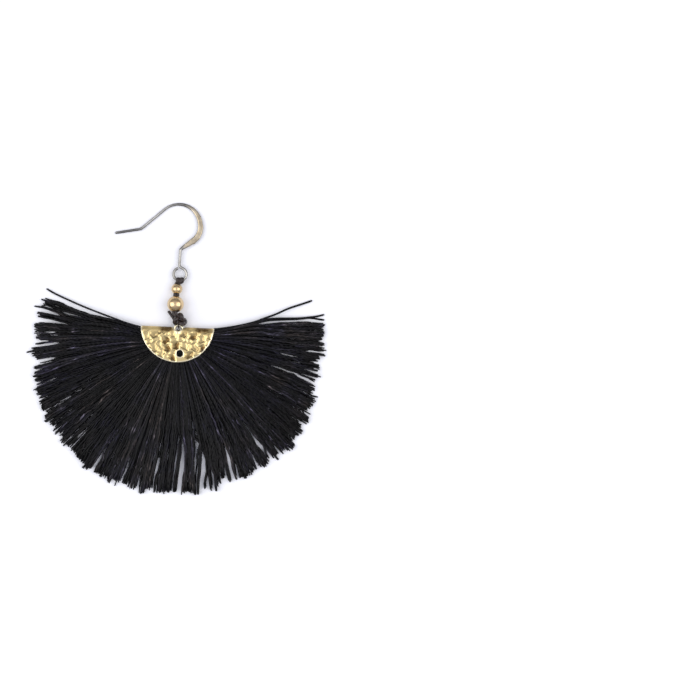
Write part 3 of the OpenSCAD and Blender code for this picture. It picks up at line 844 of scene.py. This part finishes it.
def thread_paths(spec):
    """Centre lines of threads from arrays of their settings."""
    s = {key: column[:, None] for key, column in spec.items()}
    k = np.linspace(0, 1, RINGS)
    r = START_R + (s["tip"] - START_R) * k ** 0.92
    centre = (s["right"] + s["left"]) / 2
    reach = s["lock_tip"]

    def edge(slant, opens, split, sign):
        ramp = np.clip((r - opens) / (reach - opens), 0, 1.3)
        return slant + sign * np.degrees(split / 2 * ramp / np.maximum(r, 5))

    left = edge(s["left"], s["l_opens"], s["l_split"], 1)
    right = edge(s["right"], s["r_opens"], s["r_split"], -1)
    gathered = smooth((r - s["grip_from"]) / (reach - s["grip_from"]))
    across = s["v"] + (s["clump"] - s["v"]) * s["grip"] * gathered
    slant = (left + right) / 2 + across * (right - left) / 2
    loose = smooth((r - 11) / 22)
    wave = s["a1"] * np.sin(2 * np.pi * r / s["w1"] + s["p1"])
    wave += s["a2"] * np.sin(2 * np.pi * r / s["w2"] + s["p2"])
    wave += s["stray"] * smooth((r - 20) / 26)
    slant = slant + np.degrees(wave * loose / np.maximum(r, 5))
    # the lower middle bends a little to the left, the left border sags and the right one rises
    slant -= 1.9 * smooth((r - 31) / 13) * np.exp(-(((centre - 14) / 17) ** 4))
    slant += 1.7 * np.exp(-(((r - 25) / 5.5) ** 2)) * smooth((-centre - 86) / 12)
    slant += 2.3 * np.exp(-(((r - 20) / 5.5) ** 2)) * smooth((centre - 78) / 14)
    outside = part_round(on_fan(slant, r), s["parts"])
    rim = on_fan(slant, np.full_like(r, CAP_RIM))
    inside = GATHER_AT + (r / CAP_RIM)[:, :, None] * (rim - GATHER_AT)
    flat = np.where((r < CAP_RIM)[:, :, None], inside, outside)
    # heights: between the surface and the part's own upper side
    top = np.full(r.shape, FOLD_R + FREE_HALF)
    for i, j in np.argwhere(r >= CAP_RIM + 0.3):
        top[i, j] = cad_height(*(flat[i, j] + FOLD_AT[:2]))
    for row in top:
        good = row > 0.3
        row[:] = np.interp(np.arange(RINGS), np.flatnonzero(good), row[good])
    smoothed = top.copy()
    smoothed[:, 1:-1] = (top[:, :-2] + top[:, 1:-1] * 2 + top[:, 2:]) / 4
    low = (FOLD_R - FREE_HALF) * (1 - smooth((r - CAP_RIM) / (LAND_R - CAP_RIM)))
    radius = s["radius"] * (0.66 + 0.34 * smooth((r - 9) / 14)) * np.where(k > 0.985, 0.82, 1.0)
    z = low + radius + s["u"] * np.maximum(smoothed - low - 2 * radius, 0)
    droop = smooth((r - reach + 1.5) / 3.0)
    z = z * (1 - 0.35 * droop) + radius * 0.35 * droop
    ripple = s["az"] * np.sin(2 * np.pi * r / s["wz"] + s["p1"] * 1.7)
    z = np.maximum(z + loose * ripple, radius + 0.005)
    return np.concatenate([flat + FOLD_AT[:2], z[:, :, None]], -1), radius


# Threads a degree of a lock 43 mm long, distance before the tip where locks part, and that gap
THREADS_A_DEGREE = 5.9
LOCKS_PART = 3.2
LOCK_GAP = 0.12
# Shares of threads that end short, that wave much, and that cross the splits
SHORT_SHARE = 0.2
RESTLESS_SHARE, RESTLESS = 0.22, 2.2
CROSSING_SHARE = 0.015


def fringe_specs():
    """Settings of every thread: its lock, its place in it, its clump, its waves and its tint."""
    rng = np.random.default_rng(31)
    fields = (
        "left right lock_tip l_opens l_split r_opens r_split v u tip clump grip grip_from "
        "a1 a2 w1 w2 p1 p2 az wz stray radius tint parts"
    ).split()
    rows = []
    for left, right, before, after in locks_of_the_part():
        width = right - left
        middle = (left + right) / 2
        tip = lock_tip(middle, width)
        count = int(round(width * THREADS_A_DEGREE * (tip / 43)))
        borders = before or (tip - LOCKS_PART, LOCK_GAP), after or (tip - LOCKS_PART, LOCK_GAP)
        lean = rng.normal(0, 0.2)
        # threads cling together in clumps, each with a cut of its own
        clumps = []
        at = -1.0
        while at < 1:
            wide = rng.uniform(0.4, 1.1) * 2 / width
            longer, grip = rng.normal(0, 0.4), rng.uniform(0.3, 0.85)
            clumps.append((at, at + wide, longer, grip, rng.uniform(0.5, 0.9), rng.normal(0, 0.2)))
            at += wide
        for _ in range(count):
            v = rng.uniform(-1, 1)
            u = rng.beta(1.25, 0.85)
            start, end, longer, grip, grip_from, shade = next(c for c in clumps if v < c[1])
            middle_v = min((start + end) / 2, 1.0)
            short = abs(rng.normal(0, 0.45)) + (rng.uniform(0.6, 6) if rng.random() < SHORT_SHARE else 0)
            restless = RESTLESS if rng.random() < RESTLESS_SHARE else 1.0
            rows.append((
                left, right, tip, *borders[0], *borders[1],
                v, u, tip + 0.35 + longer - short, middle_v, grip, tip * grip_from,
                rng.normal(0, 0.2) * restless, rng.normal(0, 0.105) * restless,
                rng.uniform(12, 28), rng.uniform(3.5, 8), rng.uniform(0, 6.28), rng.uniform(0, 6.28),
                rng.uniform(0, 0.16), rng.uniform(5, 12),
                rng.normal(0, 0.3) * restless + lean,
                rng.uniform(0.18, 0.245), np.clip(0.42 + shade + rng.normal(0, 0.3), 0, 1),
                0.0 if rng.random() < CROSSING_SHARE else 1.0,
            ))
    table = np.array(rows)
    return {name: table[:, i] for i, name in enumerate(fields)}


spec = fringe_specs()
paths, radii = thread_paths(spec)
middle_slant = (spec["left"] + spec["right"]) / 2
# Pieces of the fringe with the slants that each takes
GROUPS = [
    ("fringe_far_left", -200, -60), ("fringe_left", -60, -20), ("fringe_middle", -20, 15),
    ("fringe_right", 15, 52), ("fringe_far_right", 52, 200),
]
fringe = []
for name, low, high in GROUPS:
    pick = (middle_slant >= low) & (middle_slant < high)
    verts, faces, uvs, owner = tubes(paths[pick], radii[pick], SIDES)
    fringe.append(make_mesh(name, verts, faces, uvs, {"tint": spec["tint"][pick][owner]}))

# Single threads that leave the fan: pixels of the photograph with heights, and the thread's radius
STRAYS = [
    ([(141, 327, 2.4), (131, 324.3, 2.3), (120.3, 320.6, 2.1), (93.8, 310.7, 1.3), (76.4, 303.6, 0.8),
      (54.8, 293.7, 0.45), (46, 288.5, 0.3)], 0.25),
    ([(214, 329.4, 2.3), (228, 327.6, 2.2), (240.7, 325.4, 2.1), (254.8, 321.9, 1.8), (264.7, 318.2, 1.5),
      (276.3, 314, 1.2), (287.9, 308.7, 0.9), (302.8, 303.7, 0.5), (312, 300.5, 0.35)], 0.28),
    ([(214, 330.4, 2.2), (228, 329, 2.2), (242, 326.6, 2.0), (254.8, 323, 1.7), (266.4, 319.4, 1.5),
      (279.6, 318.4, 1.3), (296.2, 318.3, 1.0), (308, 317.4, 0.7), (318.6, 316, 0.5), (324.2, 314.4, 0.4)],
     0.26),
    ([(214, 331, 2.1), (228, 330, 2.1), (242, 327.6, 2.0), (254.8, 324, 1.6), (266.4, 320.8, 1.2),
      (279.6, 319.8, 0.9), (296.2, 319.2, 0.6), (310, 318, 0.4), (318.6, 319.2, 0.35), (324.2, 320, 0.3)],
     0.25),
    ([(141, 329, 2.2), (119.5, 323, 2.1), (102.9, 318, 1.8), (88, 315.4, 1.5), (73, 310.4, 1.1),
      (61.4, 306.2, 0.8), (40.8, 299.2, 0.4)], 0.25),
    ([(141, 331, 2.2), (115, 325.4, 2.0), (95, 319.6, 1.6), (76, 314.2, 1.2), (60, 310.4, 0.8),
      (48, 308.4, 0.5), (33.8, 306, 0.3)], 0.24),
    ([(141, 338, 2.0), (110, 338, 1.8), (80, 342, 1.4), (52, 347, 1.2), (36, 350, 0.6), (26, 352.4, 0.3)],
     0.24),
    ([(95, 322, 1.6), (76, 319.4, 1.2), (63, 317.2, 0.9), (57, 312.4, 0.8), (50, 309.4, 0.5),
      (43, 306.4, 0.3)], 0.22),
]
STRAY_STEP = 1.2
# The binding: middle along y, half width and half height of a turn, radius of its thread
BINDING_Y, BINDING_HALF, BINDING_THREAD = -2.0, (1.2, 0.98), 0.2


def threads_piece(name, parts, tint):
    """Tubes of threads as one piece of one tint."""
    verts, faces, uvs = joined(parts)
    return make_mesh(name, verts, faces, uvs, {"tint": np.full(len(verts), tint)})


def build_strays():
    parts = []
    for points, radius in STRAYS:
        path = spline([(*place_of(px, py), z) for px, py, z in points], STRAY_STEP) + FOLD_AT
        ends = np.ones(len(path))
        ends[-1] = 0.8
        parts.append(tubes(path[None], (radius * ends)[None], SIDES))
    return threads_piece("fringe_strays", parts, 0.45)


def build_binding():
    """The binding round the threads' middle, inside the fold, with room for the ring."""
    a = np.linspace(0, 2 * np.pi, 30)
    y, z = BINDING_Y + BINDING_HALF[0] * np.cos(a), FOLD_R + BINDING_HALF[1] * np.sin(a)
    parts = []
    for x in np.arange(-3.4, 3.5, 0.42):
        if abs(abs(x - RING_AT[0]) - RING_R) >= 0.5:
            parts.append(rope_mesh(np.stack([x + 0 * a, y, z], -1) + FOLD_AT, BINDING_THREAD, SIDES))
    return threads_piece("fringe_binding", parts, 0.4)


fringe += [build_strays(), build_binding()]
for piece in fringe:
    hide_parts("tassel")

hook = build_hook()
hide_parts("ear_hook")
cord = build_cord()
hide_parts("cord")
cap = build_cap()
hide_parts("cap")


# Finishes

def thread_material():
    n = Finish("black_silk_thread", Metallic=0.0, Specular_IOR_Level=0.2)
    u, v, _ = n.separate(n.uv())
    tint = n.attribute("tint")
    # two plies twisted round each other, about one turn in 1.3 mm, each thread with a phase of its own
    phase = n.math("MULTIPLY_ADD", tint, 90.0, n.math("MULTIPLY", u, 12.566))
    ply = n.math("SINE", n.math("MULTIPLY_ADD", v, 4.8, phase))
    fibres = n.noise(7000, 2, 0.6)
    # each thread's colour by its tint, at random; the lightest few are partly a painted highlight, the light
    # streaks along the fan
    shade = n.ramp(tint, [
        (0.0, (0.0014, 0.0013, 0.0017)), (0.45, (0.0034, 0.0032, 0.0044)), (0.75, (0.0075, 0.0070, 0.0098)),
        (1.0, (0.044, 0.040, 0.045)),
    ])
    patch = n.ramp(n.noise(130, 2, 0.5), [
        (0.4, (1.12, 1.0, 0.84)), (0.56, (0.94, 0.95, 1.2)), (0.68, (1.05, 1.0, 1.55)),
    ])
    # painted shade: the colour is darker in the grooves between the plies
    dark = n.ramp(ply, [(0.0, 0.45), (1.0, 1.0)])
    # painted highlights: light and dark dashes along each thread's colour, where its face would turn to the
    # light
    run = n.combine(n.math("MULTIPLY", v, 0.32), n.math("MULTIPLY", tint, 60.0), 0.0)
    painted_glint_dash = n.ramp(n.noise(1.0, 2, 0.5, run), [(0.36, 0.4), (0.54, 1.0), (0.68, 4.2)])
    n.colour(n.times(n.times(n.times(shade, patch), painted_glint_dash), dark))
    n.rough(n.ramp(fibres, [(0.3, 0.34), (0.7, 0.54)]))
    n.normal(n.bump(ply, 0.00004, 0.6, n.bump(fibres, FINE_BUMP, 0.5)))
    return n.material


thread = thread_material()
for piece in fringe:
    wear_as(piece, thread)


def hook_material():
    n = Finish("hook_champagne", Metallic=1.0)
    u, _, _ = n.separate(n.uv())
    clouds = n.noise(700, 4, 0.6)
    wire = n.ramp(n.attribute("tone"), [
        (0.0, (0.15, 0.145, 0.14)), (0.5, (0.47, 0.45, 0.41)), (1.0, (0.86, 0.83, 0.77)),
    ])
    plate = n.mix(clouds, (0.80, 0.68, 0.49), (0.62, 0.51, 0.35))
    bright = n.mix(n.attribute("blade"), wire, plate)
    # painted shade and highlight: the colour is darker on the wire's sides and underside and lighter on its
    # top, as light from above falls
    top = n.math("SINE", n.math("MULTIPLY", u, 6.2832))
    side = n.ramp(top, [(0.0, 0.2), (0.5, 0.3), (0.8, 0.86), (1.0, 1.0)])
    stain = n.ramp(n.noise(420, 3, 0.6), [(0.40, 1.0), (0.66, 0.62)])
    n.colour(n.times(n.times(bright, side), stain))
    n.rough(n.ramp(clouds, [(0.3, 0.14), (0.75, 0.28)]))
    n.normal(n.bump(n.noise(2400, 3, 0.6), FINE_BUMP, 0.5))
    return n.material


wear_as(hook, hook_material())


def cord_material():
    n = Finish("waxed_cord", Metallic=0.0, Specular_IOR_Level=0.5, Coat_Weight=0.12, Coat_Roughness=0.35)
    u, v, _ = n.separate(n.uv())
    # three plies
    plies = n.math("SINE", n.math("MULTIPLY_ADD", v, 7.5, n.math("MULTIPLY", u, 18.85)))
    clouds = n.noise(1600, 4, 0.6)
    shade = n.ramp(clouds, [
        (0.3, (0.021, 0.013, 0.011)), (0.6, (0.045, 0.028, 0.025)), (0.8, (0.085, 0.060, 0.062)),
    ])
    # painted shade: the colour is darker in the grooves between the plies
    n.colour(n.times(shade, n.ramp(plies, [(0.0, 0.6), (1.0, 1.0)])))
    n.rough(n.ramp(clouds, [(0.3, 0.34), (0.7, 0.5)]))
    n.normal(n.bump(plies, 0.00005, 0.7))
    return n.material


wear_as(cord, cord_material())

bead_metal = metal("bead_brass", (0.80, 0.61, 0.35), (0.30, 0.17, 0.08), (0.18, 0.31), 0.45, 800)
for key in ("small_bead", "large_bead"):
    cover(nodes[key], bead_metal)
ring_metal = metal("ring_brass", (0.98, 0.90, 0.63), (0.62, 0.46, 0.22), (0.2, 0.32), 0.2, 900)
cover(nodes["jump_ring"], ring_metal)


def cap_material():
    n = Finish("hammered_brass", Metallic=1.0)
    clouds = n.noise(650, 4, 0.6)
    gold = n.mix(clouds, (0.80, 0.645, 0.32), (0.56, 0.42, 0.19))
    # the brown mixed in is partly tarnish and partly painted shade on the hammer pits' walls
    tarnish_and_shade_brown = n.mix(clouds, (0.20, 0.118, 0.042), (0.055, 0.031, 0.011))
    blotches = n.ramp(n.noise(1500, 3, 0.6), [(0.3, 0.7), (0.6, 1.35)])
    tarnish_and_shade_mask = n.math("MULTIPLY", n.attribute("brown"), blotches, clamp=True)
    # painted highlight: the colour is lighter along the rim and round both holes, where the rounded edges
    # catch the light
    rim = n.ramp(n.math("MULTIPLY", n.attribute("edge"), 1.6, clamp=True), [(0.25, 1.0), (0.75, 0.0)])
    n.colour(n.mix(rim, n.mix(tarnish_and_shade_mask, gold, tarnish_and_shade_brown), (0.95, 0.86, 0.62)))
    # the fold is rougher than the plates
    polished = n.ramp(clouds, [(0.3, 0.14), (0.75, 0.28)])
    fold = n.ramp(n.math("MULTIPLY", n.attribute("across"), 0.25, clamp=True), [(0.4, 0.5), (0.72, 0.0)])
    n.rough(n.math("ADD", polished, n.math("MULTIPLY", fold, 0.75)))
    n.normal(n.bump(n.noise(2600, 3, 0.6), 0.00003, 0.5))
    return n.material


wear_as(cap, cap_material())

# Floor, lights and camera, in metres

bpy.ops.mesh.primitive_plane_add(size=6, location=(0, 0, 0))
floor = bpy.context.object
floor.name = "floor"
ground = Finish("pale_surface", Roughness=0.75, Specular_IOR_Level=0.2)
ground.colour(ground.mix(ground.noise(40, 3, 0.5), (0.93, 0.935, 0.975), (0.945, 0.95, 0.985)))
floor.data.materials.append(ground.material)

# Two soft boxes, left and right, that give the beads their two highlights
LIGHT_X, LIGHT_Z = 0.60, 0.56
LIGHT_SIZE = (0.72, 0.85)
LIGHT_POWER = 3.6
LIGHT_COLOUR = (1.0, 0.985, 0.955)
LIGHT_AIM = (0.0, 0.0, 0.002)
for name, x in (("soft_left", -LIGHT_X), ("soft_right", LIGHT_X)):
    light = bpy.data.lights.new(name, "AREA")
    light.shape = "RECTANGLE"
    light.size, light.size_y = LIGHT_SIZE
    light.energy = LIGHT_POWER
    light.color = LIGHT_COLOUR
    lamp = bpy.data.objects.new(name, light)
    bpy.context.scene.collection.objects.link(lamp)
    lamp.location = (x, 0.0, LIGHT_Z)
    lamp.rotation_euler = (Vector(LIGHT_AIM) - lamp.location).to_track_quat("-Z", "Y").to_euler()

# A studio tent: bright overhead, darker towards the horizon, a little blue
SKY = [(0.0, 0.33), (0.35, 0.37), (0.62, 0.50), (0.82, 0.72), (0.92, 0.92)]
SKY_TINT = (0.94, 0.96, 1.06)
world = bpy.data.worlds.new("studio")
bpy.context.scene.world = world
world.use_nodes = True
sky = Nodes(world.node_tree)
tent = sky.ramp(
    sky.separate(sky.coords("Generated"))["Z"],
    [(place, tuple(value * c for c in SKY_TINT)) for place, value in SKY],
)
sky.link(tent, sky.tree.nodes["Background"].inputs["Color"])

# The photo is taken from straight above, and the earring lies left of its middle
VIEW_CENTRE = (0.04648, -0.000437)
VIEW_WIDTH = 0.1904
VIEW_LEVEL = 0.0015
LENS = 100
SENSOR = 36
camera_data = bpy.data.cameras.new("camera")
camera_data.lens = LENS
camera_data.sensor_width = SENSOR
camera_data.clip_start = 0.01
camera_data.clip_end = 20
camera = bpy.data.objects.new("camera", camera_data)
bpy.context.scene.collection.objects.link(camera)
camera.location = (*VIEW_CENTRE, VIEW_WIDTH * LENS / SENSOR + VIEW_LEVEL)
bpy.context.scene.camera = camera
bpy.context.scene.view_settings.view_transform = "Standard"
bpy.context.scene.view_settings.look = "None"
